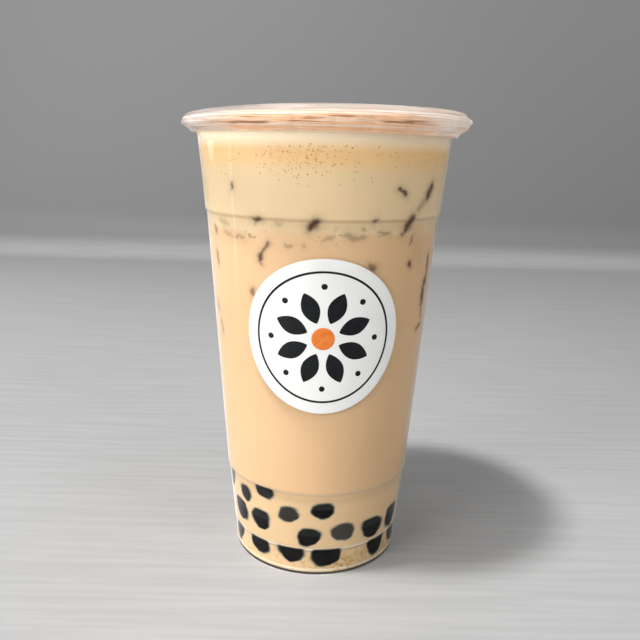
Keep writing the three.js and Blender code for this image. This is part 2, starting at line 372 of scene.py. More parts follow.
# %% [markdown]
# ## Where the pearls lie
# Cooked tapioca pearls are about 9 mm across and soft, so those at the side press flat against
# the wall and show as black ovals. The front ones are listed by azimuth, height, width and
# height of the oval and how far behind the wall they stay. The back repeats the rows by a rule.

# %% Pearl places
# The pearl at 18.4 degrees is set 0.28 mm back so that the tea greys it: a painted sheen for a glare on
# the wall in front of it.
FRONT_PEARLS = np.array([
    (-72, 29, 6.4, 7.4, 0), (-33.6, 31, 6.4, 6, 0.1), (-51, 26.2, 4.8, 5.4, 0.1),
    (-17, 23.6, 7, 5.2, 0.22), (4.7, 25.9, 7.2, 5.2, 0), (-59, 18.4, 7.2, 8.6, 0),
    (-38, 18.7, 7.2, 7.4, 0), (-3.9, 15.3, 7.6, 6.2, 0), (18.4, 17, 7.6, 6.6, 0.28),
    (40.8, 16, 8, 8.2, 0), (62.5, 16.6, 7.4, 9.6, 0), (-68, 7.6, 7.4, 7.6, 0),
    (-40.8, 8.2, 7.6, 7.6, 0), (-16, 8.8, 8.4, 8.2, 0), (8, 8.2, 10.2, 8.8, 0),
    (47.2, 8, 7.8, 8.4, 0), (70.5, 7.6, 7.4, 8, 0),
])
BACK_ROWS = [(7.8, 30), (16.4, 28), (24.2, 38), (29.6, 52)]
FADE_DEPTH = 1.0


def back_pearls():
    """Pearls round the back, a row for each height, each nudged a little at random."""
    rows = []
    for height, spacing in BACK_ROWS:
        azimuth = np.arange(92, 268, spacing, dtype=float)
        count = len(azimuth)
        rows.append(np.stack([
            azimuth + random.uniform(-6, 6, count),
            height + random.uniform(-1.4, 1.6, count),
            random.uniform(7.2, 9.2, count),
            random.uniform(6.4, 8.6, count),
            np.abs(random.normal(0, 0.12, count)),
        ], axis=-1))
    return np.concatenate(rows)


pearls = np.concatenate([FRONT_PEARLS, back_pearls()])
print(len(pearls), "pearls at the wall")

# %% [markdown]
# ## Where the ice touches
# The ice is wholly sunk in the milky drink. Only an edge or a corner that presses on the wall
# shows, as a small soft brown mark of painted shade, because the clear ice lets you see into the
# dark of the drink. Each mark is a streak with two ends, a half width and a strength.

# %% Ice marks: azimuth and height of both ends, half width, strength
ICE_MARKS = np.array([
    (-42.9, 136.3, -43.3, 134.5, 0.45, 0.9), (33.8, 136, 36.5, 135.2, 0.5, 1),
    (36.5, 135.2, 38.4, 133.9, 0.6, 1), (56.6, 136.8, 53.4, 133.1, 1.3, 0.95),
    (52.8, 132.8, 47.4, 129.3, 1, 0.45), (44.8, 127.2, 40.8, 123.1, 1.25, 0.95),
    (39.6, 122.4, 38.8, 121.7, 0.5, 0.75), (-32, 125.7, -27.8, 125.9, 0.6, 0.95),
    (-30.7, 124.8, -31.5, 124, 0.5, 0.4), (-2.2, 126.1, -5.5, 123.9, 1.2, 1),
    (22.6, 126.4, 24.2, 126.6, 0.55, 0.75), (-24.4, 118.8, -28, 115.8, 0.55, 0.8),
    (-28.2, 115.5, -29.7, 113.1, 0.75, 0.95), (-29.4, 112.4, -28, 111.6, 0.4, 0.6),
    (5.1, 121.7, 0.7, 120.3, 0.5, 0.4), (10, 122.1, 15.2, 120.9, 0.85, 0.5),
    (15.3, 120.9, 19.2, 121.3, 0.6, 0.45), (18.1, 123.7, 18.6, 123.2, 0.35, 0.6),
    (25.9, 122.7, 32, 122.3, 0.3, 0.55), (26.5, 121.7, 29.5, 121.9, 0.25, 0.4),
    (-16.6, 118.7, -15.4, 117.8, 0.3, 0.5), (-15.2, 117.8, -13.4, 118.5, 0.3, 0.45),
    (-8.6, 118.6, -7.6, 118.2, 0.45, 0.35), (-44.2, 119.4, -41, 120.2, 0.5, 0.45),
    (-41, 120.2, -38, 119.3, 0.35, 0.5), (46.4, 121.3, 45.3, 118.4, 0.4, 0.6),
    (46.4, 112.2, 46.9, 111.3, 0.85, 1), (-62.2, 122, -60.8, 119.6, 0.7, 0.7),
    (-62.6, 113.6, -61.4, 109.5, 0.6, 0.75), (-68.7, 95.8, -66.2, 92.2, 0.5, 0.6),
    (-64.6, 89.6, -62.4, 84.6, 0.5, 0.6), (75, 124.7, 74, 119.5, 0.8, 0.6),
    (65.6, 113.4, 66.2, 107.2, 0.8, 0.85), (66, 106, 63.9, 103, 1.15, 1),
    (63.8, 102.4, 64.5, 96.9, 1.15, 1), (64.8, 96, 65.9, 91.7, 0.7, 0.55),
    (67, 89.5, 61.6, 88.2, 0.6, 0.85), (22.6, 112.2, 25.3, 111.4, 0.95, 0.75),
    (-34.6, 103.2, -34.2, 101.6, 0.8, 0.75), (-55.4, 124, -49, 123.2, 0.9, 0.35),
    (-21, 125, -18.4, 124.6, 0.6, 0.3), (-52, 121.2, -38, 119.4, 2.2, 0.15),
    (47, 120.5, 55, 113, 2.6, 0.1),
])


def back_marks(count):
    """Marks round the sides and back like those at the front, at random places and leans."""
    azimuth, z = random.uniform(80, 280, count), random.uniform(90, 138, count)
    reach = random.uniform(-5, 5, (count, 2))
    return np.stack([
        azimuth, z, azimuth + reach[:, 0], z + reach[:, 1],
        random.uniform(0.6, 1.4, count), random.uniform(0.4, 1, count),
    ], axis=-1)


marks = np.concatenate([ICE_MARKS, back_marks(26)])
print(len(marks), "ice marks")


def degrees_apart(azimuth, place):
    """Signed angle from a place to each azimuth, in degrees, the short way round."""
    return (np.degrees(azimuth) - place + 180) % 360 - 180


def lumps(turn, number):
    """A pearl's uneven outline: a few waves round it, with phases that depend on its number."""
    return (
        1 + 0.05 * np.sin(2 * turn + 1.7 * number) + 0.045 * np.sin(3 * turn + 2.9 * number)
        + 0.03 * np.sin(5 * turn + 0.8 * number) + 0.018 * np.sin(9 * turn + 4.1 * number)
    )


def pearl_veil(azimuth, z):
    """How dark the tea's skin is from the pearl behind it: exp(-depth / fade) for the tea in
    front of it, which also thickens beyond the pearl's edge, faster on one side than the other.
    Above a ring the wall stands off further, and the tea in between hides the pearl."""
    veil = np.zeros_like(z)
    for number, (place, height, wide, tall, behind) in enumerate(pearls):
        across = np.radians(degrees_apart(azimuth, place)) * wall_radius(height) / (wide / 2)
        up = (z - height) / (tall / 2)
        turn = np.arctan2(up, across)
        outside = np.maximum(np.hypot(across, up) / lumps(turn, number) - 1, 0) * wide / 2
        softness = 0.55 + 0.6 * np.sin(turn + 2.3 * number) ** 2 + 0.3 * np.sin(turn)
        step = wall_radius(z) - wall_radius(height)
        hidden = behind + 14 * np.maximum(step - 0.3, 0) * (z > height)
        veil = np.maximum(veil, np.exp(-hidden / FADE_DEPTH - (outside / softness) ** 1.5))
    return veil


def mould_glint(azimuth, z):
    """A narrow pale line on the skin where the cup's mould line bends the light."""
    return mould_bell(azimuth, z, 0.6) * smooth(z, 92, 125)


def ice_shade(azimuth, z):
    """How much painted shade the skin takes from ice: near 1 along each streak and uneven at its
    edge, and a wide faint halo round it, where the ice is a little way behind the skin."""
    shade = np.zeros_like(z)
    for a0, z0, a1, z1, half, strength in marks:
        scale = math.radians(1) * wall_radius((z0 + z1) / 2)
        x, y = degrees_apart(azimuth, a0) * scale, z - z0
        x = x + 0.2 * np.sin(2.1 * y + a0) + 0.07 * np.sin(5.1 * y + z0)
        y = y + 0.2 * np.sin(1.9 * x + z0) + 0.07 * np.sin(4.3 * x + a0)
        dx, dy = (a1 - a0) * scale, z1 - z0
        along = np.clip((x * dx + y * dy) / (dx * dx + dy * dy), 0, 1)
        taper = (1.15 * half + 0.12) * (0.6 + 0.4 * np.sin(math.pi * along))
        away = np.hypot(x - along * dx, y - along * dy)
        core = np.exp(-((away / taper) ** 2.4))
        halo = 0.32 * half ** 0.5 * np.exp(-((away / (half + 1.1)) ** 2))
        shade = np.maximum(shade, strength * (core + (1 - core) * halo))
    return shade


# %% [markdown]
# ## The tea and the foam
# The drink fills the cup, so its skin lies just inside the plastic of the wall and leaves no air
# gap. The tea reaches from the floor to a wavy line, and the foam lies on it up to the neck. The
# rows of the grid are close together where the pearls and the ice marks are. What lies behind
# the skin goes into attributes, which the materials read as darkness.

# %% Drink skins
DRINK_COLUMNS = 480
SKIN_INTO_WALL = 0.15
LAYER_Z = 122.6
FOAM_TOP_Z = 156.0


def skin_radius(z):
    """The radius of the drink's skin at a height."""
    return wall_radius(z) - WALL + SKIN_INTO_WALL


def layer_height(azimuth):
    """Height of the line where foam meets tea, a slow wave round the cup."""
    return LAYER_Z + 0.7 * np.sin(3 * azimuth + 0.6) + 0.35 * np.sin(7 * azimuth)


def add_number(piece, name, values):
    """Stores one number at each point of a piece, for its material to read."""
    layer = piece.data.attributes.new(name, "FLOAT", "POINT")
    layer.data.foreach_set("value", values.astype(np.float32))


def read_points(piece):
    """A piece's points in millimetres, as azimuth, radius and height."""
    flat = np.zeros(len(piece.data.vertices) * 3, np.float32)
    piece.data.vertices.foreach_get("co", flat)
    x, y, z = flat.reshape(-1, 3).T / MM
    return np.arctan2(x, -y), np.hypot(x, y), z


def tea_skin():
    """The tea's outline turned: across the floor, up the wall, and in along the layer."""
    share = np.unique(np.concatenate([
        np.linspace(0, 0.27, 76), np.linspace(0.27, 0.68, 22), np.linspace(0.68, 1, 74),
    ]))
    azimuth = even_turns(DRINK_COLUMNS)[None, :]
    top = layer_height(azimuth)
    start = CHANNEL_Z + CHANNEL_FILLET
    z = start + share[:, None] * (top - start)
    radius = skin_radius(z)
    foot_radius, foot_z, _ = round_grid(floor_profile(SKIN_INTO_WALL)[:-1], azimuth[0])
    ones = np.ones((1, DRINK_COLUMNS))
    radius = np.concatenate([foot_radius, radius, 30 * ones, 0 * ones])
    z = np.concatenate([foot_z, z, top, LAYER_Z * ones])
    return turned("tea_skin", radius, z, azimuth + np.zeros_like(z))


def foam_skin():
    """The foam's outline turned: in along the layer, up the wall and collar, and over the top,
    which is low and lumpy."""
    azimuth = even_turns(DRINK_COLUMNS)[None, :]
    low = layer_height(azimuth)
    share = np.linspace(0, 1, 66)[:, None]
    z = low + share * (FOAM_TOP_Z - 0.6 - low)
    radius = skin_radius(z)
    ones = np.ones((1, DRINK_COLUMNS))
    inner = np.array([0.985, 0.96, 0.9, 0.8, 0.65, 0.45, 0.2])[:, None] * radius[-1:]
    swell = 0.35 * np.sin(5 * azimuth + inner / 3) + 0.25 * np.sin(9 * azimuth - inner / 2)
    top = FOAM_TOP_Z + swell * (inner / inner.max())
    radius = np.concatenate([0 * ones, 30 * ones, radius, inner, 0 * ones])
    z = np.concatenate([LAYER_Z * ones, low, z, top, FOAM_TOP_Z * ones])
    return turned("foam_skin", radius, z, azimuth + np.zeros_like(z))


azimuth, radius, z = read_points(film)
add_number(film, "film_level", (z + rim_dip(radius, z, azimuth)) * MM)

tea, foam = tea_skin(), foam_skin()
for piece in (tea, foam):
    azimuth, radius, z = read_points(piece)
    add_number(piece, "ice_shade", ice_shade(azimuth, z))
    add_number(piece, "mould_glint", mould_glint(azimuth, z))
azimuth, radius, z = read_points(tea)
add_number(tea, "pearl_veil", pearl_veil(azimuth, z))
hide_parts("milk_tea")
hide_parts("milk_foam")

# %% [markdown]
# ## Bubbles in the foam
# Fine bubbles of spiced tea gather against the wall near the top of the foam and show as orange
# brown specks, 0.2 to 0.6 millimetres across. They are small beads set into the skin at random,
# thickest left of the middle. One mesh holds them all.

# %% Foam specks
SPECK_ROWS, SPECK_COLUMNS = 5, 8
FRONT_SPECKS, OTHER_SPECKS = 290, 320
SPECK_FLAT = 0.4


def speck_places():
    """Azimuth in degrees, height and size: a cloud at the front, and thinner ones all round."""
    front = random.normal(-9, 17, FRONT_SPECKS)
    other = random.uniform(45, 325, OTHER_SPECKS)
    spread = random.uniform(-31, 42, FRONT_SPECKS)
    azimuth = np.concatenate([np.where(np.abs(front - 6) > 36, spread, front), other])
    count = len(azimuth)
    drop = np.abs(random.normal(0, 5, count))
    z = np.clip(148.6 - drop - 0.6 * random.random(count), 136.5, 149.5)
    size = 0.11 + 0.18 * random.random(count) ** 2.5
    return azimuth, z, size


def speck_mesh():
    """A bead at every place: its points are a small flattened sphere, laid on the skin."""
    azimuth, z, size = (values[:, None, None] for values in speck_places())
    bead = sphere_ways(SPECK_ROWS, SPECK_COLUMNS) * size[..., None]
    skin = skin_radius(z)
    angle = np.radians(azimuth) + bead[..., 0] / skin
    return joined(on_wall(angle, skin + SPECK_FLAT * bead[..., 2], z + bead[..., 1]))


specks = add_mesh("foam_specks", *speck_mesh())

# %% [markdown]
# ## Ice cubes
# The ice floats high in the cup, wholly under the drink, so only its marks on the wall tell of
# it. A worn ice cube is a superellipsoid: a sphere's directions divided by their own length in a
# power much higher than two. Cubes that would stick out are held back to just inside the skin.

# %% Ice
CUBE_HALF = 11.0
CUBE_POWER = 8
CUBE_INSET = 14.5
CUBE_GRID = 16
CUBES_PER_LAYER = 6
CUBE_LAYERS = (104, 127)


def cube_points(place, height, tilt):
    """A worn cube, |x|^p + |y|^p + |z|^p = 1, tilted, and set against the wall."""
    lean, spin = (float(angle) for angle in tilt)
    turned_by = np.array(Matrix.Rotation(spin, 3, "Z") @ Matrix.Rotation(lean, 3, "X"))
    way = sphere_ways(CUBE_GRID, 2 * CUBE_GRID)
    cube = CUBE_HALF * way / (np.abs(way) ** CUBE_POWER).sum(-1, keepdims=True) ** (1 / CUBE_POWER)
    cube = cube @ turned_by.T
    cube = cube + on_wall(math.radians(place), wall_radius(height) - CUBE_INSET, height)
    x, y, z = cube[..., 0], cube[..., 1], cube[..., 2]
    return on_wall(np.arctan2(x, -y), np.minimum(np.hypot(x, y), wall_radius(z) - WALL - 0.1), z)


def ice_mesh():
    """Two layers of cubes round the cup, turned against each other."""
    grids = []
    for layer, height in enumerate(CUBE_LAYERS):
        for number in range(CUBES_PER_LAYER):
            place = 360 * (number + 0.5 * layer) / CUBES_PER_LAYER - 28
            nudge = random.uniform(-1.5, 1.5)
            grids.append(cube_points(place, height + nudge, random.uniform(0, 1.5, 2)))
    return joined(np.array(grids))


ice = add_mesh("ice_cubes", *ice_mesh())

# %% [markdown]
# ## The pearls
# Each pearl could be sculpted by hand, but a formula keeps them all in place: two angles give a
# point of an ellipsoid, and a few waves make its outline lumpy. Points that would go past the
# wall are pulled back to it, which presses the pearl flat.

# %% Pearls
PEARL_ROWS, PEARL_COLUMNS = 25, 48
PEARL_DEPTH = 4.8
PEARL_SET = 2.7
PEARL_INTO_WALL = 0.2


def pearl_points(number, place, height, wide, tall, behind):
    """A lumpy ellipsoid at the wall, whose pole points out of the cup, cut flat at the wall."""
    spread = math.sqrt(1 - (PEARL_SET / PEARL_DEPTH) ** 2)
    dip, turn = sphere_angles(PEARL_ROWS, PEARL_COLUMNS)
    size = lumps(turn, number) * np.sin(dip) / spread
    centre = skin_radius(height) - PEARL_SET - behind
    z = height + size * np.sin(turn) * tall / 2
    azimuth = math.radians(place) + size * np.cos(turn) * wide / 2 / wall_radius(height)
    radius = centre + PEARL_DEPTH * np.cos(dip) + 0 * turn
    limit = np.minimum(wall_radius(z), wall_radius(height)) - WALL + PEARL_INTO_WALL - behind
    return on_wall(azimuth, np.minimum(radius, limit), np.maximum(z, CHANNEL_Z + 1))


def merge_doubles(piece, distance=1e-6):
    """Joins points that lie on each other, such as those of a pole, and turns faces outwards."""
    mesh = bmesh.new()
    mesh.from_mesh(piece.data)
    bmesh.ops.remove_doubles(mesh, verts=mesh.verts, dist=distance)
    bmesh.ops.dissolve_degenerate(mesh, edges=mesh.edges, dist=distance)
    bmesh.ops.recalc_face_normals(mesh, faces=mesh.faces)
    mesh.to_mesh(piece.data)
    mesh.free()


heap = add_mesh("pearls", *joined(np.array([
    pearl_points(number, *pearl) for number, pearl in enumerate(pearls)])))
for piece in (heap, ice, specks):
    merge_doubles(piece)
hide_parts("tapioca_pearls")

# %% [markdown]
# ## The label
# A round sticker, bent round the wall. It is a disc in polar coordinates, whose across direction
# becomes arc length on the cup. The print is a set of thin shapes laid on it the same way: a
# rosette of leaves round an orange middle, a thin ring and a few dots.

# %% Label and print
LABEL_RADIUS = 25.75
LABEL_Z = 89.0
LABEL_AZIMUTH = math.radians(1.7)
LABEL_LIFT = 0.12
LABEL_THICK = 0.16
INK_THICK = 0.03
EDGE_ROUND = 0.35


def on_label(across, up, lift):
    """Flat label coordinates in millimetres, laid on the wall at a lift from it."""
    z = LABEL_Z + up
    azimuth = LABEL_AZIMUTH + across / wall_radius(LABEL_Z)
    return on_wall(azimuth, wall_radius(z) + lift, z)


def label_shape(name, across, up, lift, thick):
    """A thin closed piece on the label. The arrays are rings from the middle to the edge by
    steps round it; a front and a back are joined along the edge."""
    rings, steps = across.shape
    front = on_label(across, up, lift + thick)
    front[-1] = on_label(across[-1], up[-1], lift + thick - EDGE_ROUND * thick)
    back = on_label(across, up, lift)
    points = np.concatenate([front, back[::-1]]).reshape(-1, 3)
    piece = add_mesh(name, points, grid_faces(2 * rings, steps, wrap=True))
    merge_doubles(piece)
    return piece


def disc_grid(radius, rings, steps, inner=0.0):
    """A disc, or a ring, in polar coordinates."""
    reach = np.linspace(inner, radius, rings)[:, None]
    turn = np.linspace(0, 2 * math.pi, steps, endpoint=False)[None, :]
    return reach * np.cos(turn), reach * np.sin(turn)


label = label_shape("sticker", *disc_grid(LABEL_RADIUS, 40, 160), LABEL_LIFT, LABEL_THICK)
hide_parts("label")
INK_LIFT = LABEL_LIFT + LABEL_THICK + 0.01


def leaf_grid(length, width, turn, start):
    """A pointed leaf from a start radius outwards: its half width is sin(pi t) to a power."""
    steps, rings = 40, 9
    t = np.concatenate([np.linspace(0, 1, steps // 2), np.linspace(1, 0, steps // 2)[1:-1]])
    side = np.concatenate([np.ones(steps // 2), -np.ones(steps // 2 - 2)])
    half = width / 2 * np.sin(math.pi * t) ** 0.8
    share = np.linspace(0, 1, rings)[:, None]
    along = start + length * (0.5 + share * (t - 0.5)[None, :])
    across = share * (side * half)[None, :]
    return (
        along * math.cos(turn) - across * math.sin(turn),
        along * math.sin(turn) + across * math.cos(turn),
    )


LEAVES = 8
LEAF_LENGTH, LEAF_WIDTH, LEAF_START = 10.6, 5.6, 5.4
DOT_RADIUS, DOT_REACH = 0.95, 17.0
MIDDLE_RADIUS = 3.7
RING_RADIUS, RING_WIDTH = 21.6, 0.7

ink_pieces = []
for number in range(LEAVES):
    turn = 2 * math.pi * (number + 0.5) / LEAVES
    leaf = leaf_grid(LEAF_LENGTH, LEAF_WIDTH, turn, LEAF_START)
    ink_pieces.append(label_shape(f"print_leaf_{number + 1}", *leaf, INK_LIFT, INK_THICK))
    turn = 2 * math.pi * number / LEAVES
    across, up = disc_grid(DOT_RADIUS, 5, 24)
    dot = (across + DOT_REACH * math.cos(turn), up + DOT_REACH * math.sin(turn))
    ink_pieces.append(label_shape(f"print_dot_{number + 1}", *dot, INK_LIFT, INK_THICK))
orange_disc = label_shape("print_middle", *disc_grid(MIDDLE_RADIUS, 10, 48), INK_LIFT, INK_THICK)


def ring_shape(name, radius, width):
    """A flat ring on the label, its section closed on itself."""
    inner, outer = radius - width / 2, radius + width / 2
    across, up = disc_grid(outer, 3, 144, inner)
    front = on_label(across, up, INK_LIFT + INK_THICK)
    back = on_label(across, up, INK_LIFT)
    rows = np.concatenate([front, back[::-1], front[:1]])
    return add_mesh(name, rows.reshape(-1, 3), grid_faces(7, 144, wrap=True))


ink_ring = ring_shape("print_ring", RING_RADIUS, RING_WIDTH)
merge_doubles(ink_ring)
ink_pieces.append(ink_ring)

# %% [markdown]
# ## Materials
# Every finish is a small node tree. Patterns read Object coordinates, which stay put when the
# view turns, or a number that was stored at the points above. The helpers below make one node
# each, so that a material reads like a recipe.


# %% Material tools
def new_material(name):
    """An empty material and its node tree."""
    material = bpy.data.materials.new(name)
    material.use_nodes = True
    material.node_tree.nodes.clear()
    return material, material.node_tree


def principled(tree, **sockets):
    """A Principled shader with values set on its own sockets, named with _ for a space."""
    shader = tree.nodes.new("ShaderNodeBsdfPrincipled")
    for name, value in sockets.items():
        shader.inputs[name.replace("_", " ")].default_value = value
    return shader


def show(tree, shader, **linked):
    """Links sockets into a shader, and the shader to the material's surface."""
    for name, socket in linked.items():
        tree.links.new(socket, shader.inputs[name.replace("_", " ")])
    output = tree.nodes.new("ShaderNodeOutputMaterial")
    tree.links.new(shader.outputs[0], output.inputs["Surface"])


def place_of(tree):
    """The place on the piece, in metres, as a socket."""
    return tree.nodes.new("ShaderNodeTexCoord").outputs["Object"]


def coordinate(tree, axis):
    """One coordinate of the place, X, Y or Z, in metres."""
    split = tree.nodes.new("ShaderNodeSeparateXYZ")
    tree.links.new(place_of(tree), split.inputs["Vector"])
    return split.outputs[axis]


def reach_of(tree):
    """The distance from the cup's axis, in metres, as a socket."""
    flat = tree.nodes.new("ShaderNodeVectorMath")
    flat.operation = "MULTIPLY"
    flat.inputs[1].default_value = (1, 1, 0)
    length = tree.nodes.new("ShaderNodeVectorMath")
    length.operation = "LENGTH"
    tree.links.new(place_of(tree), flat.inputs[0])
    tree.links.new(flat.outputs["Vector"], length.inputs[0])
    return length.outputs["Value"]


def number_of(tree, name):
    """A number stored at the points of the piece."""
    node = tree.nodes.new("ShaderNodeAttribute")
    node.attribute_name = name
    return node.outputs["Fac"]


def noise(tree, scale, detail=3.0, stretch=(1, 1, 1)):
    """Noise on Object coordinates, in features per metre, squeezed by a factor each way."""
    mapping = tree.nodes.new("ShaderNodeMapping")
    mapping.inputs["Scale"].default_value = stretch
    texture = tree.nodes.new("ShaderNodeTexNoise")
    texture.inputs["Scale"].default_value = scale
    texture.inputs["Detail"].default_value = detail
    tree.links.new(place_of(tree), mapping.inputs["Vector"])
    tree.links.new(mapping.outputs["Vector"], texture.inputs["Vector"])
    return texture.outputs["Fac"]


def remap(tree, source, from_range, to_range):
    """Maps a number from one range to another along an S-curve, clamped."""
    node = tree.nodes.new("ShaderNodeMapRange")
    node.interpolation_type = "SMOOTHSTEP"
    for name, value in zip(("From Min", "From Max", "To Min", "To Max"), (*from_range, *to_range)):
        node.inputs[name].default_value = value
    tree.links.new(source, node.inputs["Value"])
    return node.outputs["Result"]


def mix_colour(tree, factor, first, second, mode="MIX"):
    """Blends two colours by a factor socket. Each colour is a value or a socket."""
    node = tree.nodes.new("ShaderNodeMix")
    node.data_type = "RGBA"
    node.blend_type = mode
    for name, value in (("Factor", factor), ("A", first), ("B", second)):
        socket = next(s for s in node.inputs if s.name == name and s.enabled)
        if isinstance(value, tuple):
            socket.default_value = (*value, 1)
        else:
            tree.links.new(value, socket)
    return next(s for s in node.outputs if s.enabled)


def arithmetic(tree, operation, first, second):
    """One Math node on two values, each a number or a socket."""
    node = tree.nodes.new("ShaderNodeMath")
    node.operation = operation
    for socket, value in zip(node.inputs, (first, second)):
        if isinstance(value, bpy.types.NodeSocket):
            tree.links.new(value, socket)
        else:
            socket.default_value = value
    return node.outputs["Value"]


def times(tree, *shares):
    """The product of several values."""
    product = shares[0]
    for share in shares[1:]:
        product = arithmetic(tree, "MULTIPLY", product, share)
    return product


def bump(tree, height, distance, strength=1.0):
    """A Bump node fed by a height."""
    node = tree.nodes.new("ShaderNodeBump")
    node.inputs["Distance"].default_value = distance
    node.inputs["Strength"].default_value = strength
    tree.links.new(height, node.inputs["Height"])
    return node.outputs["Normal"]


def near_height(tree, height, centre, half_width, strength):
    """A soft level line: its strength at a height in millimetres, and 0 past its half width."""
    away = arithmetic(tree, "SUBTRACT", height, centre * MM)
    away = arithmetic(tree, "ABSOLUTE", away, 0)
    return remap(tree, away, (0, half_width * MM), (strength, 0))


def level_lines(tree, height, lines):
    """The coats of a list of level lines, each with its colour at the end."""
    return [(near_height(tree, height, *line), tone) for *line, tone in lines]


def coated(tree, colour, coats):
    """A colour with others laid over it one after another, each by its own share."""
    for share, tone in coats:
        colour = mix_colour(tree, share, colour, tone)
    return colour


# %% [markdown]
# ## Clear plastic
# The wall could be glass and nothing else, but then it would throw the shadow of a solid on the
# drink that it touches. So lamps pass through a plain tint, and only the eye meets the glass.
# Its index is lower than real plastic's, because strong reflections would turn the black pearls
# grey. Sheen gives back the pale edge, where the eye looks along the wall.

# %% Plastic
PLASTIC_TINT = (0.97, 0.97, 0.96, 1)


def plastic_material():
    """Glass for sight and a tint for lamps, chosen by the Light Path node."""
    material, tree = new_material("clear_plastic")
    glass = principled(
        tree, Base_Color=PLASTIC_TINT, Roughness=0.05, IOR=1.17, Transmission_Weight=1.0,
        Sheen_Weight=0.8, Sheen_Roughness=0.22)
    waves = bump(tree, noise(tree, 60, 3, (1, 1, 0.25)), 0.0002)
    tree.links.new(waves, glass.inputs["Normal"])
    passing = tree.nodes.new("ShaderNodeBsdfTransparent")
    passing.inputs["Color"].default_value = PLASTIC_TINT
    path = tree.nodes.new("ShaderNodeLightPath")
    mix = tree.nodes.new("ShaderNodeMixShader")
    tree.links.new(path.outputs["Is Shadow Ray"], mix.inputs[0])
    tree.links.new(glass.outputs[0], mix.inputs[1])
    tree.links.new(passing.outputs[0], mix.inputs[2])
    show(tree, mix)
    return material


cup.data.materials.append(plastic_material())
print("plastic on", cup.name)

# %% [markdown]
# ## Film
# Film far thinner than its wrinkles doesn't bend light, so glass would be wrong for it. It is a
# gloss that is see-through by an amount: clear over the drink, milky where it is creased over
# the rim, and smeared on the inside with tea under the rim. Its milky tone carries painted shade
# on the left and on the top, and painted light on the right. The streaks are noise squeezed hard
# along Z, which draws it out round the rim.

# %% Film finish
# Milky tones with painted shade on the left and painted light on the right.
MILKY_PAINTED_SHADE_LEFT, MILKY_PAINTED_LIGHT_RIGHT = (0.59, 0.54, 0.52), (1.0, 0.91, 0.83)
FILM_PEACH, FILM_ROSY, FILM_PALE = (1.0, 0.62, 0.37), (0.88, 0.56, 0.40), (0.95, 0.89, 0.81)
TEA_SMEAR = (0.42, 0.20, 0.10)
# Tone of the painted shade laid over the top of the film.
DISC_PAINTED_SHADE = (0.56, 0.51, 0.48)
CLEAREST = 0.16
# Height in millimetres, half width, strength and colour of the lines round the film; the pale one at
# 157.3 is a painted highlight.
FILM_LINES = [
    (158.5, 0.4, 0.45, (0.50, 0.38, 0.31)),
    (157.3, 0.35, 0.6, (1.0, 0.93, 0.86)),
    (153.7, 0.4, 0.7, (1.0, 0.93, 0.84)),
]


def film_material():
    """Gloss whose alpha is low on the disc, higher on the creased edge, and full in smears. Only
    half of it stops the light of lamps."""
    material, tree = new_material("sealing_film")
    height = number_of(tree, "film_level")
    across = coordinate(tree, "X")
    crease = noise(tree, 38, 5, (1, 1, 30))
    fine = noise(tree, 58, 5, (1, 1, 34))
    middle = remap(tree, arithmetic(tree, "ABSOLUTE", across, 0), (0.022, 0.040), (1, 0.15))
    skirt = remap(tree, reach_of(tree), (0.0438, 0.0462), (0, 1))
    lower = remap(tree, height, (0.1588, 0.1568), (0, 1))
    smear = remap(tree, noise(tree, 64, 6, (1, 1, 22)), (0.54, 0.59), (0, 0.95))
    under = remap(tree, height, (0.1569, 0.1563), (0, 1))
    over = remap(tree, height, (0.1534, 0.1541), (0, 1))
    smear = times(tree, smear, under, over, middle)
    # Painted shade to the left, painted light to the right.
    rightwards = remap(tree, across, (-0.040, 0.040), (0, 1))
    colour = coated(tree, mix_colour(tree, rightwards, MILKY_PAINTED_SHADE_LEFT, MILKY_PAINTED_LIGHT_RIGHT), [
        (times(tree, lower, middle), FILM_PEACH),
        (remap(tree, crease, (0.42, 0.47), (0.3, 0)), FILM_ROSY),
        (remap(tree, fine, (0.5, 0.57), (0, 0.35)), FILM_PALE),
        (smear, TEA_SMEAR),
        *level_lines(tree, height, FILM_LINES),
    ])
    # Painted shade on the top of the film.
    upper = remap(tree, height, (0.1576, 0.1592), (0, 0.85))
    colour = mix_colour(tree, upper, colour, DISC_PAINTED_SHADE, mode="MULTIPLY")
    alpha = times(tree, skirt, remap(tree, fine, (0.4, 0.6), (0.68, 0.92)))
    alpha = arithmetic(tree, "MAXIMUM", alpha, CLEAREST)
    alpha = arithmetic(tree, "MAXIMUM", alpha, smear)
    path = tree.nodes.new("ShaderNodeLightPath")
    alpha = times(tree, alpha, remap(tree, path.outputs["Is Shadow Ray"], (0, 1), (1, 0.5)))
    shader = principled(tree, Roughness=0.2, Specular_IOR_Level=0.1)
    show(tree, shader, Base_Color=colour, Alpha=alpha, Normal=bump(tree, fine, 0.0006, 0.8))
    return material


film.data.materials.append(film_material())
print("film finish with", len(FILM_LINES), "level lines")

# %% [markdown]
# ## Milk tea and foam
# Milk tea is cloudy: light goes in a few millimetres and comes back warmer. Tea and foam share
# one recipe by height, so that the border between them runs on without a seam. Each ring of the
# wall bends the light, which is painted on the skin as a pale highlight line with a painted
# shade line under it; a painted shade line lies under the neck and a painted highlight line at
# the foot. Some brown scraps hang under the border, and fine sediment lies at the bottom.

# %% Drink colours
FOAM_COLOUR, FOAM_PAINTED_HIGHLIGHT, FOAM_ORANGE = (0.78, 0.60, 0.365), (0.98, 0.83, 0.62), (0.82, 0.55, 0.27)
FROTH_DARK, FROTH_PALE, COLLAR_PEACH = (0.60, 0.43, 0.25), (0.76, 0.60, 0.40), (0.82, 0.52, 0.33)
TEA_COLOUR, TEA_DEEP, TEA_LOW = (0.765, 0.515, 0.295), (0.72, 0.475, 0.26), (0.79, 0.585, 0.345)
